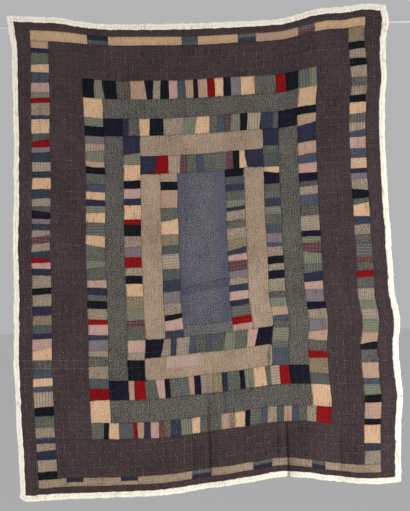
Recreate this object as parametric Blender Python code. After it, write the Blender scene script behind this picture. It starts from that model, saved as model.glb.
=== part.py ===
# Railroad crossing quilt hung in front of a thin level rod, in metres, +Z up.
# The quilt faces -Y. The rod lies along X behind it, with its left end at the origin.

import math

import bmesh
import bpy
from mathutils import Matrix

# Driving dimensions
ROD_LENGTH = 1.90
ROD_DIAMETER = 0.010
ROD_SIDES = 16
CLOTH_THICKNESS = 0.0035
BINDING_THICKNESS = 0.0043
PIECE_GAP = 0.0003
LONGEST_CELL_ACROSS = 0.062
LONGEST_CELL_DOWN = 0.075
CLOSEST_LINES = 0.008
EDGE_HOLD = 0.03

# Widths of the strips from the left edge to the right one, laid flat
STRIPS_ACROSS = [
    # strip, width
    ("binding", 0.024),
    ("narrow border", 0.058),
    ("outer scraps", 0.083),
    ("wide border", 0.160),
    ("scraps C", 0.086),
    ("grey frame", 0.085),
    ("scraps B", 0.076),
    ("tan frame", 0.089),
    ("scraps A", 0.077),
    ("centre", 0.216),
    ("scraps A", 0.085),
    ("tan frame", 0.089),
    ("scraps B", 0.071),
    ("grey frame", 0.087),
    ("scraps C", 0.083),
    ("wide border", 0.153),
    ("outer scraps", 0.073),
    ("narrow border", 0.061),
    ("binding", 0.026),
]

# Heights of the strips from the top edge to the bottom one, laid flat
STRIPS_DOWN = [
    # strip, height
    ("binding", 0.026),
    ("narrow border", 0.030),
    ("outer scraps", 0.038),
    ("wide border", 0.154),
    ("scraps C", 0.082),
    ("grey frame", 0.084),
    ("scraps B", 0.076),
    ("tan frame", 0.089),
    ("scraps A", 0.080),
    ("centre", 0.722),
    ("scraps A", 0.080),
    ("tan frame", 0.098),
    ("scraps B", 0.084),
    ("grey frame", 0.098),
    ("scraps C", 0.071),
    ("wide border", 0.163),
    ("outer scraps", 0.036),
    ("narrow border", 0.028),
    ("binding", 0.026),
]

# Frames from the outside in. Each starts at its line in both lists above. Its top and bottom strips
# run from strip_start to the mirrored line, and its side strips from side_start to the mirrored line.
FRAMES = [
    # name, colour, line, strip_start, side_start, thickness
    ("binding", "cream", 0, 0, 1, BINDING_THICKNESS),
    ("narrow_border", "brown", 1, 1, 2, CLOTH_THICKNESS),
    ("outer_scraps", "beige", 2, 2, 3, CLOTH_THICKNESS),
    ("wide_border", "brown", 3, 3, 4, CLOTH_THICKNESS),
    ("scraps_c", "slate", 4, 4, 5, CLOTH_THICKNESS),
    ("grey_frame", "grey", 5, 5, 7, CLOTH_THICKNESS),
    ("scraps_b", "slate", 6, 6, 7, CLOTH_THICKNESS),
    ("tan_frame", "tan", 7, 7, 9, CLOTH_THICKNESS),
    ("scraps_a", "slate", 8, 7, 9, CLOTH_THICKNESS),
]
SQUARE_COLUMN = 5
SQUARE_ROW = 6
CENTRE_LINE = 9

# Hung outline. The top and bottom edges give their height, and the side edges their place across.
TOP_EDGE = [
    # across, height
    (0.086, 0.052),
    (0.136, 0.049),
    (0.313, 0.039),
    (0.413, 0.023),
    (0.530, 0.010),
    (0.677, 0.005),
    (0.932, 0.005),
    (1.130, 0.012),
    (1.277, 0.017),
    (1.334, 0.027),
    (1.414, 0.049),
    (1.494, 0.065),
    (1.572, 0.069),
    (1.672, 0.080),
    (1.769, 0.076),
]
BOTTOM_EDGE = [
    # across, height
    (0.112, -2.085),
    (0.138, -2.102),
    (0.302, -2.095),
    (0.644, -2.088),
    (0.781, -2.080),
    (0.941, -2.059),
    (1.099, -2.036),
    (1.246, -2.015),
    (1.381, -2.016),
    (1.461, -2.028),
    (1.558, -2.039),
    (1.698, -2.045),
    (1.803, -2.039),
]
LEFT_EDGE = [
    # height, across
    (0.052, 0.086),
    (-0.011, 0.095),
    (-0.117, 0.107),
    (-0.455, 0.109),
    (-0.686, 0.108),
    (-0.885, 0.101),
    (-1.010, 0.098),
    (-1.107, 0.102),
    (-1.445, 0.097),
    (-1.724, 0.102),
    (-1.902, 0.112),
    (-2.040, 0.116),
    (-2.085, 0.112),
]
RIGHT_EDGE = [
    # height, across
    (0.076, 1.769),
    (0.004, 1.780),
    (-0.063, 1.769),
    (-0.147, 1.763),
    (-0.258, 1.768),
    (-0.334, 1.759),
    (-0.494, 1.755),
    (-0.676, 1.760),
    (-1.058, 1.781),
    (-1.195, 1.787),
    (-1.320, 1.810),
    (-1.430, 1.801),
    (-1.613, 1.813),
    (-1.670, 1.818),
    (-1.790, 1.808),
    (-2.039, 1.803),
]

# Soft ridges (forward above 0) and creases (forward below 0). Each grows from its top to its foot.
FOLDS = [
    # top_across, foot_across, top, foot, half_width, forward
    (0.120, 0.130, -0.10, -2.10, 0.110, 0.012),
    (0.330, 0.300, -0.70, -2.10, 0.100, 0.009),
    (0.560, 0.600, -0.90, -2.10, 0.150, 0.014),
    (0.815, 0.790, -0.15, -1.00, 0.120, 0.006),
    (0.880, 0.884, -1.60, -2.00, 0.028, -0.005),
    (0.955, 0.948, -1.45, -2.00, 0.036, -0.009),
    (1.090, 1.120, -0.90, -2.05, 0.130, 0.015),
    (1.306, 1.300, -1.70, -1.98, 0.032, -0.011),
    (1.440, 1.410, -1.10, -2.05, 0.085, 0.016),
    (1.522, 1.530, -1.75, -2.00, 0.028, -0.007),
    (1.690, 1.680, -1.00, -2.05, 0.120, 0.018),
    (1.600, 1.640, -0.10, -0.90, 0.140, 0.008),
]

# Places where the seams stray from the even layout, each fading out over its reach
PULLS = [
    # share_across, share_down, reach_across, reach_down, move_across, move_up
    (0.06, 0.02, 0.06, 0.05, 0.011, 0.000),
    (0.22, 0.14, 0.05, 0.07, -0.015, 0.000),
    (0.10, 0.05, 0.12, 0.02, 0.000, -0.010),
    (0.93, 0.04, 0.07, 0.05, -0.017, 0.000),
    (0.93, 0.78, 0.06, 0.20, -0.009, 0.000),
    (0.85, 0.96, 0.12, 0.03, 0.000, -0.008),
    (0.78, 0.87, 0.04, 0.05, 0.006, 0.000),
]

COLOURS = {
    # name: red, green, blue
    "cream": (0.83, 0.76, 0.62),
    "brown": (0.058, 0.038, 0.042),
    "beige": (0.46, 0.31, 0.19),
    "slate": (0.10, 0.11, 0.14),
    "grey": (0.105, 0.100, 0.085),
    "tan": (0.34, 0.25, 0.18),
    "navy": (0.018, 0.016, 0.040),
    "blue": (0.105, 0.115, 0.150),
    "steel": (0.72, 0.70, 0.68),
}
CLOTH_ROUGHNESS = 0.92
ROD_ROUGHNESS = 0.45


def clear_scene():
    for item in list(bpy.data.objects):
        bpy.data.objects.remove(item)


def make_material(name, roughness):
    material = bpy.data.materials.new(name)
    material.use_nodes = True
    shader = material.node_tree.nodes["Principled BSDF"]
    shader.inputs["Base Color"].default_value = (*COLOURS[name], 1.0)
    shader.inputs["Roughness"].default_value = roughness
    shader.inputs["Metallic"].default_value = 0.0
    return material


def smooth_step(share):
    share = min(max(share, 0.0), 1.0)
    return share * share * (3.0 - 2.0 * share)


def read_edge(edge, share):
    # A smooth curve through the edge's rows, read at a share of the way along it
    start = edge[0][0]
    span = edge[-1][0] - start
    along = [(row[0] - start) / span for row in edge]
    value = [row[1] for row in edge]
    last = len(edge) - 1
    index = next((i for i in range(last) if share <= along[i + 1]), last - 1)

    def slope(i):
        before = max(i - 1, 0)
        after = min(i + 1, last)
        return (value[after] - value[before]) / (along[after] - along[before])

    gap = along[index + 1] - along[index]
    t = (share - along[index]) / gap
    rise = value[index + 1] - value[index]
    return (
        value[index]
        + rise * t * t * (3.0 - 2.0 * t)
        + slope(index) * gap * t * (1.0 - t) ** 2
        - slope(index + 1) * gap * t * t * (1.0 - t)
    )


def fold_forward(across, height):
    # How far the folds bring the cloth forward of the rod's plane
    forward = 0.0
    for top_across, foot_across, top, foot, half_width, amount in FOLDS:
        grown = smooth_step((top - height) / (top - foot))
        middle = top_across + (foot_across - top_across) * grown
        forward += amount * grown * math.exp(-(((across - middle) / half_width) ** 2))
    return forward


def pull(u, v):
    # How far the seams stray at shares u across and v down, and none at the outer edge
    across = 0.0
    up = 0.0
    for share_across, share_down, reach_across, reach_down, move_across, move_up in PULLS:
        away = ((u - share_across) / reach_across) ** 2 + ((v - share_down) / reach_down) ** 2
        fade = math.exp(-away)
        across += move_across * fade
        up += move_up * fade
    edge = smooth_step(min(u, 1.0 - u, v, 1.0 - v) / EDGE_HOLD)
    return across * edge, up * edge


def hang(u, v):
    # Place in the hung quilt's back face of the point at shares u across and v down the flat quilt
    left = read_edge(LEFT_EDGE, v)
    right = read_edge(RIGHT_EDGE, v)
    top = read_edge(TOP_EDGE, u)
    bottom = read_edge(BOTTOM_EDGE, u)
    pull_across, pull_up = pull(u, v)
    across = left + (right - left) * u + pull_across
    height = top + (bottom - top) * v + pull_up
    back = -ROD_DIAMETER / 2 - PIECE_GAP - fold_forward(across, height)
    return across, back, height


def seam_shares(strips):
    total = sum(width for name, width in strips)
    shares = [0.0]
    for name, width in strips:
        shares.append(shares[-1] + width / total)
    return shares, total


def refine(shares, total, longest, extra):
    # The seams' lines, with even lines between them and the extra ones that aren't too close
    lines = list(shares)
    for start, end in zip(shares, shares[1:]):
        parts = math.ceil((end - start) * total / longest)
        lines += [start + (end - start) * part / parts for part in range(1, parts)]
    for share in extra:
        if min(abs(share - line) for line in lines) * total > CLOSEST_LINES:
            lines.append(share)
    return sorted(lines)


def crease_shares(total):
    # Extra lines at the middle and sides of each narrow fold
    left = BOTTOM_EDGE[0][0]
    shares = []
    for top_across, foot_across, top, foot, half_width, amount in FOLDS:
        if half_width < LONGEST_CELL_ACROSS:
            shares += [(foot_across + side * half_width - left) / total for side in (0, -1, 1)]
    return shares


SEAMS_ACROSS, QUILT_WIDTH = seam_shares(STRIPS_ACROSS)
SEAMS_DOWN, QUILT_HEIGHT = seam_shares(STRIPS_DOWN)
LINES_ACROSS = refine(SEAMS_ACROSS, QUILT_WIDTH, LONGEST_CELL_ACROSS, crease_shares(QUILT_WIDTH))
LINES_DOWN = refine(SEAMS_DOWN, QUILT_HEIGHT, LONGEST_CELL_DOWN, [])


def lines_between(lines, start, end, total):
    # The grid's lines over one piece, which stops half a gap short of its seams
    inside = [line for line in lines if start <= line <= end]
    inset = PIECE_GAP / 2 / total
    inside[0] += inset
    inside[-1] -= inset
    return inside


def make_cloth(name, material, columns, rows, thickness):
    across = lines_between(
        LINES_ACROSS, SEAMS_ACROSS[columns[0]], SEAMS_ACROSS[columns[1]], QUILT_WIDTH
    )
    down = lines_between(LINES_DOWN, SEAMS_DOWN[rows[0]], SEAMS_DOWN[rows[1]], QUILT_HEIGHT)
    cells_across = len(across) - 1
    cells_down = len(down) - 1
    sheet = bmesh.new()
    bmesh.ops.create_grid(sheet, x_segments=cells_across, y_segments=cells_down, size=0.5)
    for corner in sheet.verts:
        column = round((corner.co.x + 0.5) * cells_across)
        row = round((0.5 - corner.co.y) * cells_down)
        corner.co = hang(across[column], down[row])
    grown = bmesh.ops.extrude_face_region(sheet, geom=sheet.faces[:])
    front = [item for item in grown["geom"] if isinstance(item, bmesh.types.BMVert)]
    bmesh.ops.translate(sheet, verts=front, vec=(0.0, -thickness, 0.0))
    bmesh.ops.recalc_face_normals(sheet, faces=sheet.faces[:])
    return make_object(name, sheet, material)


def make_object(name, shape, material):
    mesh = bpy.data.meshes.new(name)
    shape.to_mesh(mesh)
    shape.free()
    mesh.shade_smooth()
    mesh.set_sharp_from_angle(angle=math.radians(35))
    mesh.materials.append(material)
    item = bpy.data.objects.new(name, mesh)
    bpy.context.collection.objects.link(item)
    return item


def make_frame(name, material, line, strip_start, side_start, thickness):
    last = len(STRIPS_ACROSS)
    near = (line, line + 1)
    far = (last - line - 1, last - line)
    strip = (strip_start, last - strip_start)
    side = (side_start, last - side_start)
    make_cloth(name + "_top", material, strip, near, thickness)
    make_cloth(name + "_bottom", material, strip, far, thickness)
    make_cloth(name + "_left", material, near, side, thickness)
    make_cloth(name + "_right", material, far, side, thickness)


def make_navy_squares(material):
    last = len(STRIPS_ACROSS)
    near_column = (SQUARE_COLUMN, SQUARE_COLUMN + 1)
    far_column = (last - SQUARE_COLUMN - 1, last - SQUARE_COLUMN)
    near_row = (SQUARE_ROW, SQUARE_ROW + 1)
    far_row = (last - SQUARE_ROW - 1, last - SQUARE_ROW)
    make_cloth("navy_square_top_left", material, near_column, near_row, CLOTH_THICKNESS)
    make_cloth("navy_square_top_right", material, far_column, near_row, CLOTH_THICKNESS)
    make_cloth("navy_square_bottom_left", material, near_column, far_row, CLOTH_THICKNESS)
    make_cloth("navy_square_bottom_right", material, far_column, far_row, CLOTH_THICKNESS)


def make_rod(material):
    shape = bmesh.new()
    along_x = Matrix.Translation((ROD_LENGTH / 2, 0.0, 0.0)) @ Matrix.Rotation(math.pi / 2, 4, "Y")
    bmesh.ops.create_cone(
        shape,
        cap_ends=True,
        segments=ROD_SIDES,
        radius1=ROD_DIAMETER / 2,
        radius2=ROD_DIAMETER / 2,
        depth=ROD_LENGTH,
        matrix=along_x,
    )
    return make_object("rod", shape, material)


def main():
    clear_scene()
    cloths = {name: make_material(name, CLOTH_ROUGHNESS) for name in COLOURS if name != "steel"}
    for name, colour, line, strip_start, side_start, thickness in FRAMES:
        make_frame(name, cloths[colour], line, strip_start, side_start, thickness)
    make_navy_squares(cloths["navy"])
    centre = (CENTRE_LINE, CENTRE_LINE + 1)
    make_cloth("centre_panel", cloths["blue"], centre, centre, CLOTH_THICKNESS)
    make_rod(make_material("steel", ROD_ROUGHNESS))


main()
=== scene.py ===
# Railroad crossing quilt on its rod: patchwork, quilting, binding, backing and finishes
import bmesh
import bpy
import math
import random
import numpy as np
from mathutils import Matrix, Vector


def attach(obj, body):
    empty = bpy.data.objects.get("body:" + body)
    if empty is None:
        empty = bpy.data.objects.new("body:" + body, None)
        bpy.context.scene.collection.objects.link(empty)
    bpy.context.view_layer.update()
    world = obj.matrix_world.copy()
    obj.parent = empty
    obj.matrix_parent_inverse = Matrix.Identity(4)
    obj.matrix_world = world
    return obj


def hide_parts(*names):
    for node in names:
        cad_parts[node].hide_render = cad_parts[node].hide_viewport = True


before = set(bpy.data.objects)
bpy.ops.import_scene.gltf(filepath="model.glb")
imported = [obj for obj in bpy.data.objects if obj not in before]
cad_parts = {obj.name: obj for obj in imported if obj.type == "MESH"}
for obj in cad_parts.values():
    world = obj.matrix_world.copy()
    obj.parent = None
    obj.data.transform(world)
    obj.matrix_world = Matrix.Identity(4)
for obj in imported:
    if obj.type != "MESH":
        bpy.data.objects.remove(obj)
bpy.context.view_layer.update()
print("frame loaded")

# The flat layout and the hung shape, in metres, the same as the solids'
layout = {
    "across": [0.024, 0.058, 0.083, 0.160, 0.086, 0.085, 0.076, 0.089, 0.077, 0.216,
               0.085, 0.089, 0.071, 0.087, 0.083, 0.153, 0.073, 0.061, 0.026],
    "down": [0.026, 0.030, 0.038, 0.154, 0.082, 0.084, 0.076, 0.089, 0.080, 0.722,
             0.080, 0.098, 0.084, 0.098, 0.071, 0.163, 0.036, 0.028, 0.026],
    "topEdge": [  # across, height
        (0.086, 0.052), (0.136, 0.049), (0.313, 0.039), (0.413, 0.023), (0.530, 0.010),
        (0.677, 0.005), (0.932, 0.005), (1.130, 0.012), (1.277, 0.017), (1.334, 0.027),
        (1.414, 0.049), (1.494, 0.065), (1.572, 0.069), (1.672, 0.080), (1.769, 0.076)],
    "bottomEdge": [  # across, height
        (0.112, -2.085), (0.138, -2.102), (0.302, -2.095), (0.644, -2.088), (0.781, -2.080),
        (0.941, -2.059), (1.099, -2.036), (1.246, -2.015), (1.381, -2.016), (1.461, -2.028),
        (1.558, -2.039), (1.698, -2.045), (1.803, -2.039)],
    "leftEdge": [  # height, across
        (0.052, 0.086), (-0.011, 0.095), (-0.117, 0.107), (-0.455, 0.109), (-0.686, 0.108),
        (-0.885, 0.101), (-1.010, 0.098), (-1.107, 0.102), (-1.445, 0.097), (-1.724, 0.102),
        (-1.902, 0.112), (-2.040, 0.116), (-2.085, 0.112)],
    "rightEdge": [  # height, across
        (0.076, 1.769), (0.004, 1.780), (-0.063, 1.769), (-0.147, 1.763), (-0.258, 1.768),
        (-0.334, 1.759), (-0.494, 1.755), (-0.676, 1.760), (-1.058, 1.781), (-1.195, 1.787),
        (-1.320, 1.810), (-1.430, 1.801), (-1.613, 1.813), (-1.670, 1.818), (-1.790, 1.808),
        (-2.039, 1.803)],
    "folds": [  # topAcross, footAcross, top, foot, halfWidth, forward
        (0.120, 0.130, -0.10, -2.10, 0.110, 0.012), (0.330, 0.300, -0.70, -2.10, 0.100, 0.009),
        (0.560, 0.600, -0.90, -2.10, 0.150, 0.014), (0.815, 0.790, -0.15, -1.00, 0.120, 0.006),
        (0.880, 0.884, -1.60, -2.00, 0.028, -0.005), (0.955, 0.948, -1.45, -2.00, 0.036, -0.009),
        (1.090, 1.120, -0.90, -2.05, 0.130, 0.015), (1.306, 1.300, -1.70, -1.98, 0.032, -0.011),
        (1.440, 1.410, -1.10, -2.05, 0.085, 0.016), (1.522, 1.530, -1.75, -2.00, 0.028, -0.007),
        (1.690, 1.680, -1.00, -2.05, 0.120, 0.018), (1.600, 1.640, -0.10, -0.90, 0.140, 0.008)],
    "pulls": [  # shareAcross, shareDown, reachAcross, reachDown, moveAcross, moveUp
        (0.06, 0.02, 0.06, 0.05, 0.011, 0.000), (0.22, 0.14, 0.05, 0.07, -0.015, 0.000),
        (0.10, 0.05, 0.12, 0.02, 0.000, -0.010), (0.93, 0.04, 0.07, 0.05, -0.017, 0.000),
        (0.93, 0.78, 0.06, 0.20, -0.009, 0.000), (0.85, 0.96, 0.12, 0.03, 0.000, -0.008),
        (0.78, 0.87, 0.04, 0.05, 0.006, 0.000)],
    "edgeHold": 0.03, "rodRadius": 0.005, "gap": 0.0003, "thickness": 0.0035,
}
seamsAcross = np.concatenate([[0.0], np.cumsum(layout["across"])])
seamsDown = np.concatenate([[0.0], np.cumsum(layout["down"])])
quiltWidth = seamsAcross[-1]
quiltHeight = seamsDown[-1]
noiseLattice = 512   # random values each way, enough for the finest noise over the whole quilt
noiseMargin = 3.0    # free cells around the cloth, because wandering points reach past its edges
mergeDistance = 0.00002

# Small forms of the cloth, on top of the folds
cloth = {
    "waver": 0.0034, "waverSize": 0.075,       # how far seams wander in the cloth
    "wobble": 0.0022, "wobbleSize": 0.021,     # and how unevenly they were sewn
    "rumple": 0.0022, "rumpleSize": 0.120,
    "crinkle": 0.0013, "crinkleSize": 0.030,
    "pucker": 0.0012, "puckerSize": 0.0105, "puckerReach": 0.016,
    "ditch": 0.0012, "ditchWidth": 0.0036,     # the valley along each seam
    "furrow": 0.0005, "furrowWidth": 0.0046,   # the valley along each quilted line
    "linesApart": 0.031, "rowsApart": 0.033, "lineDrift": 0.006, "driftSize": 0.30,
    "pitch": 0.0047, "skirt": 0.0021,          # the front's grid, and how far its rims turn down
    "patchTurn": 0.05,                         # how far off straight a patch's threads lie, in radians
    "seamShadow": 0.0019,                      # how far the painted shade and dirt along a seam spread
    "gatherReach": 0.013,                      # and how far its small puckers do
    "creaseShadow": 0.0054, "creaseSwell": 0.6,
    "creaseDeepens": (0.3, 0.4),               # share of its depth at its upper end, and where it is whole
    "creaseDarkens": (0.25, 0.5),
    "creases": [  # fromX, fromY, toX, toY, halfWidth, depth, shade
        (0.836, -1.56, 0.842, -2.01, 0.007, 0.0052, 0.7),
        (0.772, -1.8, 0.768, -2.0, 0.0065, 0.0034, 0.35),
        (1.18, -1.74, 1.187, -2.07, 0.0072, 0.0068, 0.95),
        (1.138, -1.83, 1.143, -1.96, 0.006, 0.004, 0.6), (1.412, -1.8, 1.418, -1.99, 0.007, 0.0034, 0.3),
        (0.573, -0.33, 0.575, -0.378, 0.006, 0.0036, 0.5),
        (0.588, -0.335, 0.592, -0.375, 0.0055, 0.003, 0.4),
        (0.552, -0.35, 0.556, -0.4, 0.0055, 0.0024, 0.4),
        (1.11, -1.48, 1.112, -1.56, 0.006, 0.0034, 0.45),
        (1.02, -1.59, 1.025, -1.66, 0.006, 0.0028, 0.45), (0.86, -1.47, 0.866, -1.55, 0.006, 0.0018, 0.1),
        (0.905, -1.6, 0.912, -1.72, 0.0065, 0.003, 0.45), (1.33, -1.26, 1.35, -1.42, 0.0065, 0.0024, 0.3),
        (0.36, -1.85, 0.362, -2.02, 0.007, 0.0026, 0.2), (0.195, -1.84, 0.198, -2.03, 0.007, 0.0024, 0.2),
        (0.12, -0.25, 0.122, -0.52, 0.007, 0.002, 0.2), (1.56, -0.3, 1.556, -0.62, 0.008, 0.0022, 0.2),
        (1.47, -1.05, 1.48, -1.4, 0.008, 0.0024, 0.25), (1.572, -0.8, 1.58, -0.88, 0.0055, 0.0026, 0.45),
        (1.59, -0.79, 1.596, -0.87, 0.0055, 0.0026, 0.4),
        (0.0, -1.648, 0.026, -1.654, 0.005, 0.0016, 0.4), (0.0, -0.7, 0.026, -0.706, 0.005, 0.001, 0.22),
        (1.658, -0.236, 1.682, -0.244, 0.005, 0.0014, 0.45),
        (1.658, -0.11, 1.682, -0.116, 0.005, 0.0012, 0.35),
        (1.658, -0.88, 1.682, -0.89, 0.005, 0.001, 0.3), (1.658, -1.69, 1.682, -1.7, 0.005, 0.0016, 0.5),
        (1.664, -1.93, 1.674, -1.965, 0.006, 0.0008, 0.45),
        (0.42, -2.04, 0.424, -2.065, 0.005, 0.0012, 0.35),
        (0.905, -2.04, 0.908, -2.065, 0.005, 0.001, 0.35),
        (1.33, -2.04, 1.334, -2.065, 0.005, 0.001, 0.3), (0.61, 0.0, 0.606, -0.026, 0.005, 0.001, 0.3),
        (1.24, 0.0, 1.236, -0.026, 0.005, 0.001, 0.3)],
}


def smoothStep(share):
    share = np.clip(share, 0.0, 1.0)
    return share * share * (3.0 - 2.0 * share)


def bell(distance):
    return np.exp(-distance ** 2)


def spot(x, y, placeX, placeY, reachX, reachY):
    return np.exp(-((x - placeX) / reachX) ** 2 - ((y - placeY) / reachY) ** 2)


def readEdge(edge, share):
    # a smooth curve through an edge's points, read at a share of its length
    along, value = np.array(edge).T
    along = (along - along[0]) / (along[-1] - along[0])
    slope = np.empty_like(value)
    slope[1:-1] = (value[2:] - value[:-2]) / (along[2:] - along[:-2])
    slope[0] = (value[1] - value[0]) / (along[1] - along[0])
    slope[-1] = (value[-1] - value[-2]) / (along[-1] - along[-2])
    share = np.clip(share, 0.0, 1.0)
    i = np.clip(np.searchsorted(along, share) - 1, 0, len(along) - 2)
    gap = along[i + 1] - along[i]
    t = (share - along[i]) / gap
    rise = value[i + 1] - value[i]
    return (value[i] + rise * t * t * (3.0 - 2.0 * t) + slope[i] * gap * t * (1.0 - t) ** 2
            - slope[i + 1] * gap * t * t * (1.0 - t))


def softNoise(x, y, size, seed):
    # smooth random swells from 0 to 1, about one every size metres
    lattice = np.random.RandomState(seed).rand(noiseLattice, noiseLattice)
    gridX, gridY = x / size + noiseMargin, noiseMargin - y / size
    column, row = np.floor(gridX).astype(int), np.floor(gridY).astype(int)
    shareX, shareY = smoothStep(gridX - column), smoothStep(gridY - row)
    column, nextColumn = column % noiseLattice, (column + 1) % noiseLattice
    near, far = [lattice[line % noiseLattice, column] * (1 - shareX)
                 + lattice[line % noiseLattice, nextColumn] * shareX for line in (row, row + 1)]
    return near * (1 - shareY) + far * shareY


def besideLine(x, y, line):
    # how far each point is from a straight line between two ends, and how far along it
    fromX, fromY, toX, toY = line
    runX, runY = toX - fromX, toY - fromY
    share = np.clip(((x - fromX) * runX + (y - fromY) * runY) / (runX * runX + runY * runY), 0.0, 1.0)
    return np.hypot(x - fromX - share * runX, y - fromY - share * runY), share


def nearestSeam(x, y, seams):
    nearest = np.full_like(x, 1.0)
    for line in seams:
        nearest = np.minimum(nearest, besideLine(x, y, line)[0])
    return nearest


def growAlong(share, start, whole):
    return start + (1.0 - start) * smoothStep(share / whole)


def creaseDepth(x, y):
    depth = np.zeros_like(x)
    for *line, halfWidth, deep, dark in cloth["creases"]:
        away, share = besideLine(x, y, line)
        depth += deep * bell(away / halfWidth) * growAlong(share, *cloth["creaseDeepens"])
    return depth


def creaseShadow(x, y):
    shadow = np.zeros_like(x)
    for *line, halfWidth, deep, dark in cloth["creases"]:
        away, share = besideLine(x, y, line)
        dark = dark * growAlong(share, *cloth["creaseDarkens"])
        shadow = np.maximum(shadow, dark * bell(away / cloth["creaseShadow"]))
    return shadow


def lineDrift(x, y):
    return [cloth["lineDrift"] * (softNoise(x, y, cloth["driftSize"], seed) - 0.5) for seed in (11, 12)]


def quiltingDepth(x, y):
    driftX, driftY = lineDrift(x, y)
    depth = 0.0
    for place, apart in ((x - driftX, cloth["linesApart"]), (y - driftY, cloth["rowsApart"])):
        share = place / apart
        depth = depth + bell(np.abs(share - np.floor(share) - 0.5) * apart / cloth["furrowWidth"])
    return cloth["furrow"] * depth


def clothSwell(x, y):
    # soft unevenness that the front, the back and the stitches share
    swell = cloth["rumple"] * softNoise(x, y, cloth["rumpleSize"], 21)
    swell += cloth["crinkle"] * softNoise(x, y, cloth["crinkleSize"], 22)
    return swell - creaseDepth(x, y) * cloth["creaseSwell"]


def quiltLift(x, y):
    return layout["thickness"] + clothSwell(x, y) - quiltingDepth(x, y)


def seamValley(x, y, nearest):
    valley = cloth["ditch"] * bell(nearest / cloth["ditchWidth"])
    pucker = cloth["pucker"] * softNoise(x, y, cloth["puckerSize"], 23)
    return valley - pucker * np.exp(-nearest / cloth["puckerReach"])


def hangCloth(x, y, lift):
    # carries flat cloth, lifted toward the viewer by lift, to where it hangs in front of the rod
    flatX, flatY = x.copy(), y.copy()
    for form, seed in (("waver", 31), ("wobble", 33)):
        amount, size = cloth[form], cloth[form + "Size"]
        flatX += amount * (softNoise(x, y, size, seed) - 0.5)
        flatY += amount * (softNoise(x, y, size, seed + 1) - 0.5)
    u, v = flatX / quiltWidth, -flatY / quiltHeight
    pullAcross, pullUp = np.zeros_like(u), np.zeros_like(u)
    for *placeAndReach, moveAcross, moveUp in layout["pulls"]:
        fade = spot(u, v, *placeAndReach)
        pullAcross += moveAcross * fade
        pullUp += moveUp * fade
    held = smoothStep(np.minimum(np.minimum(u, 1 - u), np.minimum(v, 1 - v)) / layout["edgeHold"])
    left, right = readEdge(layout["leftEdge"], v), readEdge(layout["rightEdge"], v)
    top, bottom = readEdge(layout["topEdge"], u), readEdge(layout["bottomEdge"], u)
    across = left + (right - left) * u + pullAcross * held
    height = top + (bottom - top) * v + pullUp * held
    forward = np.zeros_like(u)
    for topAcross, footAcross, foldTop, foot, halfWidth, amount in layout["folds"]:
        grown = smoothStep((foldTop - height) / (foldTop - foot))
        middle = topAcross + (footAcross - topAcross) * grown
        forward += amount * grown * bell((across - middle) / halfWidth)
    depth = -layout["rodRadius"] - layout["gap"] - forward - lift
    return np.stack([across, depth, height], axis=1)


# Colours are read and given as 0 to 255, then made linear for the shaders
def shade(*colour):
    return [((c / 255 + 0.055) / 1.055) ** 2.4 if c > 10 else c / 255 / 12.92 for c in colour] + [1.0]


def fill(tree, node, values):
    # each socket takes a link from another node, or a plain value
    for name, value in values.items():
        if isinstance(value, bpy.types.NodeSocket):
            tree.links.new(value, node.inputs[name])
        else:
            node.inputs[name].default_value = value


def addNode(tree, kind, values=None, **settings):
    # settings come first, because they give the node the sockets that values fills
    node = tree.nodes.new(kind)
    for name, value in settings.items():
        setattr(node, name, value)
    fill(tree, node, values or {})
    return node


def addGroup(tree, name, values):
    return addNode(tree, "ShaderNodeGroup", values, node_tree=groups[name]).outputs


def mathNode(tree, operation, *values):
    return addNode(tree, "ShaderNodeMath", dict(enumerate(values)), operation=operation).outputs[0]


def plus(tree, first, second):
    return mathNode(tree, "ADD", first, second)


def minus(tree, first, second):
    return mathNode(tree, "SUBTRACT", first, second)


def times(tree, first, second):
    return mathNode(tree, "MULTIPLY", first, second)


def offFrom(tree, value, middle):
    return mathNode(tree, "ABSOLUTE", minus(tree, value, middle))


def splitVector(tree, vector):
    return addNode(tree, "ShaderNodeSeparateXYZ", {0: vector}).outputs


def readValue(tree, name):
    return addNode(tree, "ShaderNodeAttribute", attribute_name=name).outputs["Fac"]


def objectPlace(tree):
    return addNode(tree, "ShaderNodeTexCoord").outputs["Object"]


def mixColour(tree, factor, first, second, blend="MIX"):
    values = {0: factor, 6: first, 7: second}
    return addNode(tree, "ShaderNodeMix", values, data_type="RGBA", blend_type=blend).outputs[2]


noiseRoughness = 0.68


def stretchedNoise(tree, vector, across, along, detail, shift=0.0):
    stretch = addNode(tree, "ShaderNodeMapping", {
        "Vector": vector, "Scale": (across, along, 1.0), "Location": (shift, shift, 0.0)})
    return addNode(tree, "ShaderNodeTexNoise", {
        "Vector": stretch.outputs[0], "Scale": 1.0, "Detail": detail, "Roughness": noiseRoughness}).outputs[0]


def softMask(tree, value, low, high, most):
    limits = {"Value": value, "From Min": low, "From Max": high, "To Max": most}
    return addNode(tree, "ShaderNodeMapRange", limits, interpolation_type="SMOOTHSTEP").outputs[0]


socketKinds = {"Cloth": "Vector", "Place": "Vector", "Colour": "Color", "Dark": "Color", "Light": "Color",
               "Odd": "Color", "Mark": "Color"}  # the others are floats


def makeGroup(name, inputs, outputs):
    group = bpy.data.node_groups.new(name, "ShaderNodeTree")
    for labels, way in ((inputs, "INPUT"), (outputs, "OUTPUT")):
        for label in labels:
            kind = "NodeSocket" + socketKinds.get(label, "Float")
            group.interface.new_socket(name=label, in_out=way, socket_type=kind)
    return group, addNode(group, "NodeGroupInput").outputs, addNode(group, "NodeGroupOutput")


threadForm = {"over": 0.35, "slub": (0.35, 0.03, 2.0)}


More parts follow.
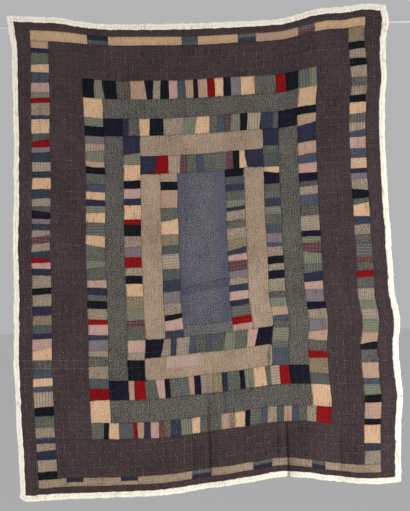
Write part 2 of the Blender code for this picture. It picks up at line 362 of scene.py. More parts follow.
def makeWeaveGroup():
    # over and under threads, with slubs where a thread runs thick
    group, given, made = makeGroup("threadWeave", ["Cloth", "Threads", "Slub"], ["Height"])
    scaling = {0: given["Cloth"], "Scale": given["Threads"]}
    scaled = addNode(group, "ShaderNodeVectorMath", scaling, operation="SCALE").outputs[0]
    parts = splitVector(group, scaled)
    warp, weft = [mathNode(group, "SINE", times(group, parts[index], math.pi)) for index in (0, 1)]
    over = times(group, times(group, warp, weft), threadForm["over"])
    thick = times(group, stretchedNoise(group, scaled, *threadForm["slub"]), given["Slub"])
    fill(group, made, {"Height": plus(group, over, thick)})
    return group


toneNoises = [  # across, along, detail, the input that weighs it, weight
    (230.0, 28.0, 2.0, "Streak", 1.0), (26.0, 230.0, 2.0, "Streak", 0.55),
    (222.0, 222.0, 1.5, "Fleck", 1.0), (6.0, 5.0, 2.0, "Fade", 1.0)]
oddFibres = {"noise": (120.0, 150.0, 3.0, 37.0), "from": 0.50, "to": 0.68}


def makeToneGroup():
    # ribs along the threads, flecks, slow fading and odd fibres, between two tones, plus the puckers' rib
    # wave as painted light and shade
    group, given, made = makeGroup("wornTone", ["Cloth", "Dark", "Light", "Odd", "Streak", "Fleck", "Fade",
                                                "OddShare", "Rib", "RibShading"], ["Colour"])
    level = 0.5
    for across, along, detail, label, weight in toneNoises:
        noise = minus(group, stretchedNoise(group, given["Cloth"], across, along, detail), 0.5)
        level = plus(group, times(group, times(group, noise, weight), given[label]), level)
    # painted light and shade of the puckers' ribs
    level = plus(group, level, times(group, given["Rib"], given["RibShading"]))
    level.node.use_clamp = True
    colour = mixColour(group, level, given["Dark"], given["Light"])
    fibres = stretchedNoise(group, given["Cloth"], *oddFibres["noise"])
    odd = softMask(group, fibres, oddFibres["from"], oddFibres["to"], given["OddShare"])
    fill(group, made, {"Colour": mixColour(group, odd, colour, given["Odd"])})
    return group


def makeBandsGroup():
    # masks for woven stripes: bands across and bands along, each a share of the repeat
    group, given, made = makeGroup("wovenBands", ["Cloth", "Repeat", "Share"], ["Across", "Along"])
    parts = splitVector(group, given["Cloth"])
    for index, label in ((0, "Across"), (1, "Along")):
        turns = mathNode(group, "FRACT", mathNode(group, "DIVIDE", parts[index], given["Repeat"]))
        fill(group, made, {label: mathNode(group, "LESS_THAN", turns, given["Share"])})
    return group


# a dark tone that paints shade, and along the seams some dirt, into the cloth's colour
shadeAndDirtTone = [0.16, 0.13, 0.13, 1.0]


def makeShadeAndMarksGroup():
    # painted shade in the creases and pucker hollows, painted shade with some dirt along the seams, and dark
    # marks, from the mesh's own values
    group, given, made = makeGroup("seamShadeAndMarks", ["Colour", "Mark", "SeamShadeAndDirt", "HollowShade"], ["Colour"])
    low = times(group, readValue(group, "seam"), given["SeamShadeAndDirt"])
    for deeper in (readValue(group, "creaseShade"), given["HollowShade"]):
        low = mathNode(group, "MAXIMUM", low, deeper)
    shadedAndDirty = mixColour(group, low, given["Colour"], shadeAndDirtTone, "MULTIPLY")
    fill(group, made, {"Colour": mixColour(group, readValue(group, "darkMark"), shadedAndDirty, given["Mark"])})
    return group


crumpling = {
    "long": (84.0, 17.0, 2.5, 11.0), "fine": (190.0, 110.0, 3.0, 23.0),   # across, down, detail, shift
    "ticks": (150.0, 27.0, 1.5, 31.0), "sway": (16.0, 12.0, 2.0), "swayShift": 5.0,
    "fineShare": 0.6, "tickShare": 1.3, "ribShare": 0.05, "swayBy": 0.034, "longShade": 0.7,
    "tickShadeMask": (0.45, 0.31), "longShadeMask": (0.44, 0.27),
    "ribs": [(0, 0.0099, 0.62), (2, 0.0102, 0.40)],                       # axis, metres apart, strength
}


def makeCrumpleGroup():
    # small upright puckers and ribs that the quilting pulls into the cloth, with painted shade in their
    # hollows and a rib wave that the cloth's colour also takes as painted light and shade
    group, given, made = makeGroup("crumple", ["Place", "Depth"], ["Height", "HollowShade", "Rib"])
    place = splitVector(group, given["Place"])
    upright = addNode(group, "ShaderNodeCombineXYZ", {0: place[0], 1: place[2]}).outputs[0]
    forms = [crumpling[name] for name in ("long", "fine", "ticks")]
    long, fine, ticks = [stretchedNoise(group, upright, *form) for form in forms]
    gather = readValue(group, "gather")
    pulled = times(group, times(group, ticks, gather), crumpling["tickShare"])
    waves = []
    for axis, apart, strength in crumpling["ribs"]:
        sway = stretchedNoise(group, upright, *crumpling["sway"], crumpling["swayShift"] + axis)
        swayed = plus(group, place[axis], times(group, sway, crumpling["swayBy"]))
        turn = times(group, swayed, 2 * math.pi / apart)
        waves.append(times(group, mathNode(group, "SINE", turn), strength))
    rib = plus(group, *waves)
    height = plus(group, long, times(group, fine, crumpling["fineShare"]))
    height = plus(group, height, times(group, rib, crumpling["ribShare"]))
    # painted shade in the pucker hollows, strongest near the seams
    shaded = times(group, softMask(group, ticks, *crumpling["tickShadeMask"], given["Depth"]), gather)
    low = softMask(group, long, *crumpling["longShadeMask"], given["Depth"])
    low = times(group, low, crumpling["longShade"])
    fill(group, made, {"Height": plus(group, height, pulled), "Rib": rib,
                       "HollowShade": mathNode(group, "MAXIMUM", low, shaded)})
    return group


backStitch = {"pitch": 0.0101, "share": 0.35, "halfWidth": 0.0009, "furrow": 0.0055}


def makeQuiltGroup():
    # the quilted lines as the back shows them: furrows, and a stitch every so often along each
    group, given, made = makeGroup("quiltedLines", ["Cloth"], ["Furrow", "Stitch"])
    parts = splitVector(group, given["Cloth"])
    furrows, stitches = [], []
    for index, apart in ((0, cloth["linesApart"]), (1, cloth["rowsApart"])):
        turn = mathNode(group, "FRACT", mathNode(group, "DIVIDE", parts[index], apart))
        off = times(group, offFrom(group, turn, 0.5), apart)
        step = mathNode(group, "FRACT", mathNode(group, "DIVIDE", parts[1 - index], backStitch["pitch"]))
        furrows.append(softMask(group, off, backStitch["furrow"], 0.0, 1.0))
        stitches.append(times(group, mathNode(group, "LESS_THAN", off, backStitch["halfWidth"]),
                              mathNode(group, "LESS_THAN", step, backStitch["share"])))
    fill(group, made, {"Furrow": mathNode(group, "MAXIMUM", *furrows),
                       "Stitch": mathNode(group, "MAXIMUM", *stitches)})
    return group


groups = {"quilted": makeQuiltGroup(), "weave": makeWeaveGroup(), "tone": makeToneGroup(),
          "bands": makeBandsGroup(), "shadeAndMarks": makeShadeAndMarksGroup(), "crumple": makeCrumpleGroup()}

# One entry for each cloth. kind is plain, tweed, check, plaid, stripe, print, stitched or quilted.
# Colours run from the dark to the light tone, with odd fibres; line is a pattern's or a stitch's colour.
fabrics = {
    "brownCotton": dict(dark=(36, 27, 30), light=(79, 66, 68), odd=(80, 55, 46), oddShare=0.35,
        streak=1.5, fleck=3.4, threads=1500, slub=0.6, dull=0.5, seamShadeAndDirt=0.1, crumple=0.6, hollowShade=0.1,
        rib=0.29),
    "bindingCotton": dict(kind="stitched", dark=(251, 240, 216), light=(255, 254, 243),
        odd=(244, 228, 200), line=(204, 190, 158), repeat=0.0101, share=0.4, oddShare=0.4, streak=0.4,
        fleck=2.4, threads=1700, slub=0.3, crumple=2.2, hollowShade=0.55, rib=0.5),
    "greyTweed": dict(kind="tweed", dark=(27, 26, 24), light=(110, 105, 97), odd=(68, 74, 67),
        oddShare=0.5, streak=1.0, fleck=4.5, threads=800, slub=0.7, crumple=1.2, hollowShade=0.8),
    "tanTweed": dict(dark=(105, 87, 69), light=(180, 158, 135), odd=(168, 135, 121), oddShare=0.4,
        streak=1.0, fleck=2.5, threads=900, slub=0.8, rib=0.13),
    "blueTwill": dict(dark=(43, 46, 59), light=(116, 114, 119), odd=(92, 84, 90), oddShare=0.4,
        streak=0.9, fleck=4.5, rib=0.21, edge=dict(most=0.42, tone=(60, 66, 90))),
    "blueTwillDark": dict(dark=(46, 49, 65), light=(100, 98, 103), odd=(82, 76, 90), oddShare=0.4,
        streak=0.6, fleck=4.2, edge=dict(most=0.45, tone=(58, 62, 86))),
    "greyTwill": dict(dark=(54, 58, 61), light=(122, 120, 117), odd=(88, 93, 87), oddShare=0.4,
        streak=0.6, fleck=4.2),
    "navyCloth": dict(dark=(16, 15, 27), light=(34, 32, 45), odd=(28, 22, 40), streak=1.0, threads=1300,
        dull=1.0),
    "blackCloth": dict(dark=(10, 13, 16), light=(28, 33, 38), odd=(14, 23, 35), streak=0.7, fleck=1.2,
        threads=1200, slub=0.4, dull=1.0),
    "indigoCloth": dict(dark=(30, 30, 48), light=(52, 53, 71), odd=(40, 36, 58), streak=1.0, fleck=2.0,
        threads=1200, dull=0.8),
    "tealBlue": dict(dark=(35, 41, 53), light=(60, 66, 80), odd=(48, 49, 66), streak=1.0, fleck=2.2,
        threads=1100, dull=0.8),
    "fadedBlue": dict(dark=(50, 54, 67), light=(82, 87, 99), odd=(66, 64, 82), streak=1.0, fleck=2.6,
        slub=0.6, dull=0.5),
    "slateCloth": dict(dark=(54, 57, 60), light=(92, 92, 92), odd=(76, 70, 77), fleck=2.8, dull=0.3),
    "creamCloth": dict(dark=(175, 140, 108), light=(220, 182, 147), odd=(202, 165, 133), streak=1.3,
        fleck=2.2, threads=1200, hollowShade=0.6),
    "beigeCloth": dict(dark=(144, 115, 95), light=(184, 153, 130), odd=(170, 134, 118), fleck=2.0,
        threads=1200, slub=0.4),
    "warmBeige": dict(dark=(162, 132, 100), light=(204, 173, 137), odd=(186, 150, 118), streak=1.0,
        fleck=2.0, threads=1200, slub=0.4),
    "pinkCloth": dict(dark=(152, 119, 108), light=(192, 157, 145), odd=(180, 138, 132), fleck=2.0,
        threads=1200, slub=0.4),
    "mauveCloth": dict(dark=(92, 82, 86), light=(132, 120, 122), odd=(110, 99, 116), fleck=1.5,
        threads=1200, slub=0.4),
    "redCloth": dict(dark=(98, 12, 15), light=(146, 21, 25), odd=(120, 16, 32), streak=0.6, fleck=1.5,
        threads=1100, slub=0.4, dull=1.0),
    "paleTweed": dict(kind="tweed", dark=(96, 82, 69), light=(166, 148, 129), odd=(132, 122, 103),
        oddShare=0.4, streak=1.0, fleck=3.0, threads=850, slub=0.8),
    "khakiTweed": dict(kind="tweed", dark=(88, 75, 56), light=(148, 131, 104), odd=(116, 108, 81),
        oddShare=0.4, streak=0.9, fleck=3.6, threads=800, slub=0.9),
    "greenGrey": dict(kind="tweed", dark=(50, 54, 47), light=(104, 105, 94), odd=(76, 87, 74),
        oddShare=0.45, streak=0.9, fleck=3.4, threads=850, slub=0.7),
    "sageCheck": dict(kind="check", dark=(74, 79, 66), light=(116, 116, 100), line=(138, 136, 117),
        repeat=0.0105, share=0.4, odd=(88, 100, 84), oddShare=0.4, fleck=2.8),
    "greyCheck": dict(kind="check", dark=(56, 60, 58), light=(96, 95, 90), line=(116, 114, 102),
        repeat=0.013, share=0.32, odd=(76, 84, 82), oddShare=0.4, fleck=2.8),
    "tickingStripe": dict(kind="stripe", dark=(136, 118, 99), light=(178, 158, 135), line=(118, 104, 90),
        repeat=0.0125, share=0.3, odd=(160, 134, 116), streak=0.7, fleck=1.5, threads=1100, slub=0.4),
    "maroonPlaid": dict(kind="plaid", dark=(58, 32, 38), light=(98, 54, 58), line=(112, 86, 86),
        repeat=0.015, share=0.22, odd=(66, 48, 54), oddShare=0.4, fleck=1.8),
    "maroonPrint": dict(kind="print", dark=(76, 42, 46), light=(104, 62, 64), line=(142, 114, 108),
        repeat=0.009, share=0.26, odd=(90, 58, 68), streak=0.6, fleck=1.6, threads=1200, slub=0.3),
    "pinkTan": dict(dark=(146, 124, 110), light=(186, 162, 146), odd=(176, 146, 136), fleck=1.3,
        slub=0.6),
    # the backing's line colour paints the shade of its stitches and furrows
    "backingCotton": dict(kind="quilted", dark=(168, 154, 131), light=(208, 196, 172),
        odd=(180, 163, 134), line=(122, 108, 86), streak=1.2, fleck=2.0, threads=1300, slub=0.6,
        hollowShade=0.5),
}
finish = {
    "roughness": 0.93, "sheen": 0.05, "sheenRoughness": 0.6, "specular": 0.16, "specularDulls": 0.8,
    "crumple": 0.0022, "weave": 0.00035, "weaveStrength": 0.55, "fade": 0.8, "mark": (52, 38, 30),
    "stripe": 0.8, "checkAcross": 0.55, "checkAlong": 0.2, "plaid": 0.75, "print": 0.8,
    "nubs": (270.0, 270.0, 1.5), "paleNubs": (0.57, 0.64), "deepNubs": (0.43, 0.36), "nubShare": 0.45,
    "paler": 50, "palest": 250, "deeper": 0.45, "sprigRandomness": 0.8,
    "rowMiddle": 0.0125, "rowHalfWidth": 0.0012,   # the binding's own row of stitches, in from the edge
    "backStitch": 0.6, "backFurrowShade": 0.05,
    "fadedEdge": {"middle": 0.836, "from": 0.070, "to": 0.135, "ragged": 0.07,
                  "noise": (26.0, 9.0, 3.0, 5.0)},
}


def newMaterial(name):
    material = bpy.data.materials.new(name)
    material.use_nodes = True
    return material, material.node_tree, material.node_tree.nodes["Principled BSDF"]


def edgeMask(tree, place, most):
    # the centre panel is bluer toward its long edges
    edge = finish["fadedEdge"]
    off = offFrom(tree, splitVector(tree, place)[0], edge["middle"])
    ragged = times(tree, stretchedNoise(tree, place, *edge["noise"]), edge["ragged"])
    return softMask(tree, plus(tree, off, ragged), edge["from"], edge["to"], most)


def patternMask(tree, kind, place, repeat, share):
    # where a woven, printed or sewn pattern shows in its line colour
    if kind == "print":
        sprigs = addNode(tree, "ShaderNodeTexVoronoi", {
            "Vector": place, "Scale": 1.0 / repeat, "Randomness": finish["sprigRandomness"]})
        return times(tree, mathNode(tree, "LESS_THAN", sprigs.outputs["Distance"], share), finish["print"])
    bands = addGroup(tree, "bands", {"Cloth": place, "Repeat": repeat, "Share": share})
    across, along = bands["Across"], bands["Along"]
    if kind == "stripe":
        return times(tree, across, finish["stripe"])
    if kind == "check":
        across = times(tree, across, finish["checkAcross"])
        return plus(tree, across, times(tree, along, finish["checkAlong"]))
    if kind == "plaid":
        return times(tree, mathNode(tree, "MAXIMUM", across, along), finish["plaid"])
    off = offFrom(tree, splitVector(tree, place)[0], finish["rowMiddle"])
    return times(tree, mathNode(tree, "LESS_THAN", off, finish["rowHalfWidth"]), along)


# rib is how strongly the puckers' ribs are painted into the colour as light and shade
def makeFabric(name, dark, light, odd, kind="plain", line=None, repeat=0.01, share=0.3, oddShare=0.3,
               streak=0.8, fleck=1.0, threads=1000, slub=0.5, dull=0.0, seamShadeAndDirt=0.28, crumple=1.0,
               hollowShade=0.45, rib=0.26, edge=None):
    material, tree, shader = newMaterial(name)
    place = addNode(tree, "ShaderNodeUVMap", uv_map="clothUV").outputs[0]
    pulled = addGroup(tree, "crumple", {"Place": objectPlace(tree), "Depth": hollowShade})
    height = pulled["Height"]
    colour = addGroup(tree, "tone", {
        "Cloth": place, "Dark": shade(*dark), "Light": shade(*light), "Odd": shade(*odd),
        "OddShare": oddShare, "Streak": streak, "Fleck": fleck, "Fade": finish["fade"],
        "Rib": pulled["Rib"], "RibShading": rib})["Colour"]
    if edge:
        colour = mixColour(tree, edgeMask(tree, place, edge["most"]), colour, shade(*edge["tone"]))
    if kind == "quilted":
        quilted = addGroup(tree, "quilted", {"Cloth": place})
        # the back's stitches and furrows are painted in the line colour, as their shade
        for label, strength in (("Stitch", finish["backStitch"]), ("Furrow", finish["backFurrowShade"])):
            colour = mixColour(tree, times(tree, quilted[label], strength), colour, shade(*line))
        height = minus(tree, height, quilted["Furrow"])
    elif line:
        colour = mixColour(tree, patternMask(tree, kind, place, repeat, share), colour, shade(*line))
    if kind == "tweed":
        nubs = stretchedNoise(tree, place, *finish["nubs"])
        pale = shade(*[min(c + finish["paler"], finish["palest"]) for c in light])
        deep = shade(*[c * finish["deeper"] for c in dark])
        for limits, tone in ((finish["paleNubs"], pale), (finish["deepNubs"], deep)):
            colour = mixColour(tree, softMask(tree, nubs, *limits, finish["nubShare"]), colour, tone)
    shadedAndMarked = addGroup(tree, "shadeAndMarks", {"Colour": colour, "Mark": shade(*finish["mark"]), "SeamShadeAndDirt": seamShadeAndDirt,
                                   "HollowShade": pulled["HollowShade"]})
    puckers = addNode(tree, "ShaderNodeBump", {
        "Height": height, "Strength": 1.0, "Distance": finish["crumple"] * crumple})
    weave = addGroup(tree, "weave", {"Cloth": place, "Threads": float(threads), "Slub": slub})
    bump = addNode(tree, "ShaderNodeBump", {
        "Height": weave["Height"], "Normal": puckers.outputs[0], "Strength": finish["weaveStrength"],
        "Distance": finish["weave"]})
    fill(tree, shader, {
        "Base Color": shadedAndMarked["Colour"], "Normal": bump.outputs[0], "Roughness": finish["roughness"],
        "Sheen Weight": finish["sheen"] * (1.0 - dull), "Sheen Roughness": finish["sheenRoughness"],
        "Specular IOR Level": finish["specular"] * (1.0 - finish["specularDulls"] * dull)})
    return material


cloths = {name: makeFabric(name, **spec) for name, spec in fabrics.items()}
print("fabrics made:", len(cloths))


def linkMesh(name, mesh):
    item = bpy.data.objects.new(name, mesh)
    bpy.context.collection.objects.link(item)
    return item


def meshFrom(name, bm):
    mesh = bpy.data.meshes.new(name)
    bm.to_mesh(mesh)
    bm.free()
    return mesh


def readMesh(items, name, size=1, kind=float):
    # size values for each of a mesh's vertices, faces or corners
    values = np.empty(len(items) * size, dtype=kind)
    items.foreach_get(name, values)
    return values.reshape(-1, size) if size > 1 else values


def addValues(mesh, name, values):
    mesh.attributes.new(name, "FLOAT", "POINT").data.foreach_set("value", values.astype(np.float32))


def setPlaces(mesh, places):
    mesh.vertices.foreach_set("co", places.astype(np.float32).ravel())
    mesh.update()


def placePiece(mesh, materials, nodes=()):
    # a finished mesh becomes a piece of the quilt, in place of the named solids
    for material in materials:
        mesh.materials.append(material)
    mesh.shade_smooth()
    piece = linkMesh(mesh.name, mesh)
    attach(piece, "root")
    if nodes:
        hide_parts(*nodes)
    print(mesh.name, len(mesh.polygons), "faces")
    return piece


def setClothUv(mesh, flat, turnOfFace, shiftOfFace):
    # cloth coordinates in metres, turned and shifted for each patch so that no two line up
    loops = readMesh(mesh.loops, "vertex_index", kind=np.int32)
    sides = readMesh(mesh.polygons, "loop_total", kind=np.int32)
    turn, shift = np.repeat(turnOfFace, sides), np.repeat(shiftOfFace, sides, axis=0)
    x, y = flat[loops, 0], flat[loops, 1]
    uv = np.stack([x * np.cos(turn) - y * np.sin(turn), x * np.sin(turn) + y * np.cos(turn)], axis=1) + shift
    mesh.uv_layers.new(name="clothUV").data.foreach_set("uv", uv.astype(np.float32).ravel())


# Dark marks, several along the creases: place across, place down, reach across, reach down, strength
darkMarks = [
    (1.112, -1.51, 0.004, 0.03, 0.75), (1.12, -1.48, 0.003, 0.016, 0.5),
    (1.026, -1.545, 0.003, 0.01, 0.5), (0.56, -0.355, 0.004, 0.004, 0.8),
    (1.336, -1.235, 0.005, 0.006, 0.8), (1.348, -1.5, 0.006, 0.006, 0.7),
    (1.342, -1.42, 0.004, 0.005, 0.6), (0.93, -0.33, 0.005, 0.004, 0.5), (0.505, -0.7, 0.004, 0.005, 0.5),
    (0.77, -1.64, 0.006, 0.01, 0.5), (1.21, -0.365, 0.003, 0.012, 0.5),
    (0.64, -1.69, 0.005, 0.004, 0.4),
]


def setShadeAndMarks(mesh, x, y, nearest, creaseShading=1.0):
    marks = np.zeros_like(x)
    for *placeAndReach, strength in darkMarks:
        marks = np.maximum(marks, strength * spot(x, y, *placeAndReach))
    addValues(mesh, "darkMark", marks)
    # painted shade, with some dirt, along every seam
    addValues(mesh, "seam", bell(nearest / cloth["seamShadow"]))
    # painted shade along the creases, left off the back
    addValues(mesh, "creaseShade", creaseShadow(x, y) * creaseShading)
    addValues(mesh, "gather", bell(nearest / cloth["gatherReach"]))


def flatGrid(box, pitch):
    # a flat grid over box = (left, right, bottom, top)
    left, right, bottom, top = box
    bm = bmesh.new()
    bmesh.ops.create_grid(bm, x_segments=max(2, round((right - left) / pitch)),
                          y_segments=max(2, round((top - bottom) / pitch)), size=0.5)
    bmesh.ops.scale(bm, vec=(right - left, top - bottom, 1.0), verts=bm.verts[:])
    bmesh.ops.translate(bm, vec=((left + right) / 2, (bottom + top) / 2, 0.0), verts=bm.verts[:])
    return bm


def boxEdges(box):
    left, right, bottom, top = box
    return [(left, bottom, left, top), (right, bottom, right, top), (left, bottom, right, bottom),
            (left, top, right, top)]


def cutAlong(bm, point, out, geometry=None):
    geometry = geometry or bm.verts[:] + bm.edges[:] + bm.faces[:]
    bmesh.ops.bisect_plane(bm, geom=geometry, dist=mergeDistance, plane_co=(*point, 0.0),
                           plane_no=(*out, 0.0))


def roundedCorners(box, radius):
    # flat cuts that round off a strip's corners, each as its corner, a point and the way out
    left, right, bottom, top = box
    cuts = []
    for cornerX, inX in ((left, 1.0), (right, -1.0)):
        for cornerY, inY in ((bottom, 1.0), (top, -1.0)):
            for angle in (math.pi / 8, math.pi / 4, math.pi * 3 / 8):
                outX, outY = -inX * math.cos(angle), -inY * math.sin(angle)
                point = (cornerX + inX * radius + outX * radius, cornerY + inY * radius + outY * radius)
                cuts.append(((cornerX, cornerY), point, (outX, outY)))
    return cuts


cornerReach = 1.6  # how far round a corner faces are cut, in radii


def cutCorners(bm, box, radius):
    for corner, point, out in roundedCorners(box, radius):
        near = [face for face in bm.faces
                if max(abs(face.calc_center_bounds().x - corner[0]),
                       abs(face.calc_center_bounds().y - corner[1])) < radius * cornerReach]
        geometry = set(near)
        for face in near:
            geometry.update(face.edges)
            geometry.update(face.verts)
        cutAlong(bm, point, out, list(geometry))


def beyondCorners(centres, box, radius):
    beyond = np.zeros(len(centres), dtype=bool)
    for corner, point, out in roundedCorners(box, radius):
        off = (centres[:, 0] - point[0]) * out[0] + (centres[:, 1] - point[1]) * out[1]
        near = np.maximum(np.abs(centres[:, 0] - corner[0]), np.abs(centres[:, 1] - corner[1])) < radius
        beyond |= near & (off > 0.0)
    return beyond


threadPlaces = {"pale": [], "dark": []}  # boxes of patches where the thread is near the cloth's own tone
darkCloths = ("navyCloth", "blackCloth", "indigoCloth", "redCloth")
paleCloths = ("creamCloth", "beigeCloth", "pinkCloth", "paleTweed", "warmBeige", "tickingStripe", "tanTweed",
              "pinkTan")


def patchPlaces(box, along, patches):
    # each patch's box and fabric, where a pieced spacer gives one for each half
    left, right, bottom, top = box
    middle = (bottom + top) / 2
    ends = [patch[0] for patch in patches[1:]] + [right if along == "x" else bottom]
    places = []
    for (start, slant, fabric), end in zip(patches, ends):
        if isinstance(fabric, tuple):
            places += [((start, end, middle, top), fabric[0]), ((start, end, bottom, middle), fabric[1])]
        else:
            places.append(((start, end, bottom, top) if along == "x" else (left, right, end, start), fabric))
    return places


def insideAny(x, y, boxes):
    inside = np.zeros(len(x), dtype=bool)
    for left, right, bottom, top in boxes:
        inside |= (x > left) & (x < right) & (y > bottom) & (y < top)
    return inside


def sewStrip(box, along, patches, corners, seams, used):
    # one flat strip with its rim turned down, and each face's patch and cloth; seams and used grow with it
    left, right, bottom, top = box
    middleX, middleY = (left + right) / 2, (bottom + top) / 2
    pieced = any(isinstance(fabric, tuple) for start, slant, fabric in patches)
    bm = flatGrid(box, cloth["pitch"])
    for start, slant, fabric in patches[1:]:
        if along == "x":
            cutAlong(bm, (start, middleY), (top - bottom, -slant))
            seams.append((start - slant / 2, bottom, start + slant / 2, top))
        else:
            cutAlong(bm, (middleX, start), (-slant, right - left))
            seams.append((left, start - slant / 2, right, start + slant / 2))
    if pieced:
        cutAlong(bm, (left, middleY), (0.0, 1.0))
    if corners:
        cutCorners(bm, box, corners["radius"])
    turned = bmesh.ops.extrude_edge_only(bm, edges=[edge for edge in bm.edges if edge.is_boundary])
    low = [item for item in turned["geom"] if isinstance(item, bmesh.types.BMVert)]
    bmesh.ops.translate(bm, vec=(0.0, 0.0, -cloth["skirt"]), verts=low)
    single = meshFrom("strip", bm)
    centres = readMesh(single.polygons, "center", 3)
    patchOfFace = np.zeros(len(centres), dtype=int)
    for start, slant, fabric in patches[1:]:
        if along == "x":
            patchOfFace += centres[:, 0] > start + (centres[:, 1] - middleY) / (top - bottom) * slant
        else:
            patchOfFace += centres[:, 1] < start + (centres[:, 0] - middleX) / (right - left) * slant
    for place, fabric in patchPlaces(box, along, patches):
        if fabric not in used:
            used.append(fabric)
        if pieced:
            seams.append((place[0], place[2], place[1], place[2]))
        if fabric in paleCloths:
            threadPlaces["pale"].append(place)
        elif fabric in darkCloths:
            threadPlaces["dark"].append(place)
    seams += boxEdges(box)
    halves = [fabric if isinstance(fabric, tuple) else (fabric, fabric) for start, slant, fabric in patches]
    slots = np.array([[used.index(upper), used.index(lower)] for upper, lower in halves])
    clothOfFace = slots[patchOfFace, (centres[:, 1] < middleY).astype(int)]
    if corners:
        if corners["fabric"] not in used:
            used.append(corners["fabric"])
        clothOfFace[beyondCorners(centres, box, corners["radius"])] = used.index(corners["fabric"])
    return single, patchOfFace, clothOfFace


def makePiece(name, nodes, strips, loose=True, corners=None):
    # strips is a list of (box, along, patches), and each patch is (start, slant, fabric); a fabric that is a
    # pair is a spacer pieced of an upper and a lower half
    whole = bmesh.new()
    seams, used, faceCloth, faceTurn, faceShift = [], [], [], [], []
    chance = random.Random(name)
    for box, along, patches in strips:
        single, patchOfFace, clothOfFace = sewStrip(box, along, patches, corners, seams, used)
        many = len(patches) > 1 and loose
        turns = np.array([chance.choice((0.0, math.pi / 2)) + chance.gauss(0, cloth["patchTurn"])
                          if many else 0.0 for patch in patches])
        shifts = np.array([(chance.random(), chance.random()) if many else (0.0, 0.0) for patch in patches])
        faceCloth.append(clothOfFace)
        faceTurn.append(turns[patchOfFace])
        faceShift.append(shifts[patchOfFace])
        whole.from_mesh(single)
        bpy.data.meshes.remove(single)
    mesh = meshFrom(name, whole)
    flat = readMesh(mesh.vertices, "co", 3)
    x, y, raised = flat.T.copy()
    nearest = nearestSeam(x, y, seams)
    setClothUv(mesh, flat, np.concatenate(faceTurn), np.concatenate(faceShift))
    setShadeAndMarks(mesh, x, y, nearest)
    mesh.polygons.foreach_set("material_index", np.concatenate(faceCloth).astype(np.int32))
    setPlaces(mesh, hangCloth(x, y, quiltLift(x, y) - seamValley(x, y, nearest) + raised))
    return placePiece(mesh, [cloths[fabric] for fabric in used], nodes)


# Scraps are put together here in an order of their own, light beside dark, with a red now and then
scrapBag = {
    "light": {"paleTweed": 6, "creamCloth": 4, "beigeCloth": 2, "pinkCloth": 3, "tickingStripe": 1.5},
    "middle": {"greenGrey": 4, "greyTweed": 3, "sageCheck": 4, "slateCloth": 3, "greyCheck": 2,
               "mauveCloth": 1.5, "khakiTweed": 1.5},
    "dark": {"blackCloth": 4, "tealBlue": 4, "indigoCloth": 3, "fadedBlue": 3.5, "navyCloth": 2},
    "accent": {"redCloth": 4, "maroonPlaid": 1.2, "maroonPrint": 1.2},
    "after": {  # how likely each tone is beside the last one
        "light": {"light": 0.04, "middle": 0.34, "dark": 0.54, "accent": 0.08},
        "middle": {"light": 0.46, "middle": 0.14, "dark": 0.32, "accent": 0.08},
        "dark": {"light": 0.58, "middle": 0.37, "dark": 0.00, "accent": 0.05},
        "accent": {"light": 0.46, "middle": 0.40, "dark": 0.14, "accent": 0.00},
    },
    "share": {"light": 1.15, "middle": 1.10, "dark": 0.80, "accent": 0.80},  # of the usual length
    "spread": 0.27, "shortest": 0.55, "longest": 1.7, "lean": 0.030, "wedge": 0.14, "wedges": 0.10,
}


def drawFrom(chance, weights):
    names = list(weights)
    return chance.choices(names, [weights[name] for name in names])[0]


def sewScraps(box, along, usual, firstPatches, lastPatches, seed):
    # lays patches along a strip: given ones at its ends as (length, fabric), drawn ones between them
    chance = random.Random(seed)
    left, right, bottom, top = box
    length, width = (right - left, top - bottom) if along == "x" else (top - bottom, right - left)
    middle = length - sum(size for size, fabric in firstPatches + lastPatches)
    drawn, tone, last = [], "dark", ""
    while sum(size for size, fabric in drawn) < middle - usual / 2:
        tone = drawFrom(chance, scrapBag["after"][tone])
        last = drawFrom(chance, {name: weight for name, weight in scrapBag[tone].items() if name != last})
        share = min(max(chance.gauss(1.0, scrapBag["spread"]), scrapBag["shortest"]), scrapBag["longest"])
        drawn.append((usual * share * scrapBag["share"][tone], last))
    fit = middle / sum(size for size, fabric in drawn)
    drawn = [(size * fit, fabric) for size, fabric in drawn]
    patches, place = [], 0.0
    for size, fabric in firstPatches + drawn + lastPatches:
        lean = chance.gauss(0.0, scrapBag["lean"])
        if chance.random() < scrapBag["wedges"]:
            lean = chance.choice((-1.0, 1.0)) * scrapBag["wedge"]
        patches.append((left + place if along == "x" else top - place, lean * width, fabric))
        place += size
    return patches


def barPatches(box, bars):
    fit = (box[1] - box[0]) / sum(size for size, fabric in bars)
    patches, place = [], box[0]
    for size, fabric in bars:
        patches.append((place, 0.0, fabric))
        place += size * fit
    return patches


def lineBox(columns, rows):
    return (seamsAcross[columns[0]], seamsAcross[columns[1]], -seamsDown[rows[1]], -seamsDown[rows[0]])


def makeFrame(spec):
    # a frame's four strips, each of plain cloth, of long bars with spacers, or of scraps
    last = len(layout["across"])
    line, stripStart, sideStart = spec["line"], spec["stripStart"], spec["sideStart"]
    near, far = (line, line + 1), (last - line - 1, last - line)
    whole, between = (stripStart, last - stripStart), (sideStart, last - sideStart)
    boxes = {"top": lineBox(whole, near), "bottom": lineBox(whole, far),
             "left": lineBox(near, between), "right": lineBox(far, between)}
    strips = []
    for number, (side, box) in enumerate(boxes.items()):
        along = "x" if side in ("top", "bottom") else "y"
        if "fabric" in spec:
            patches = [(box[0] if along == "x" else box[3], 0.0, spec["fabric"])]
        elif side in spec.get("bars", {}):
            patches = barPatches(box, spec["bars"][side])
        else:
            patches = sewScraps(box, along, spec["usual"][side], *spec[side], spec["seed"] * 10 + number)
        strips.append((box, along, patches))
    nodes = [f"{spec['node']}_{side}" for side in boxes]
    return makePiece(spec["name"], nodes, strips, corners=spec.get("corners"))


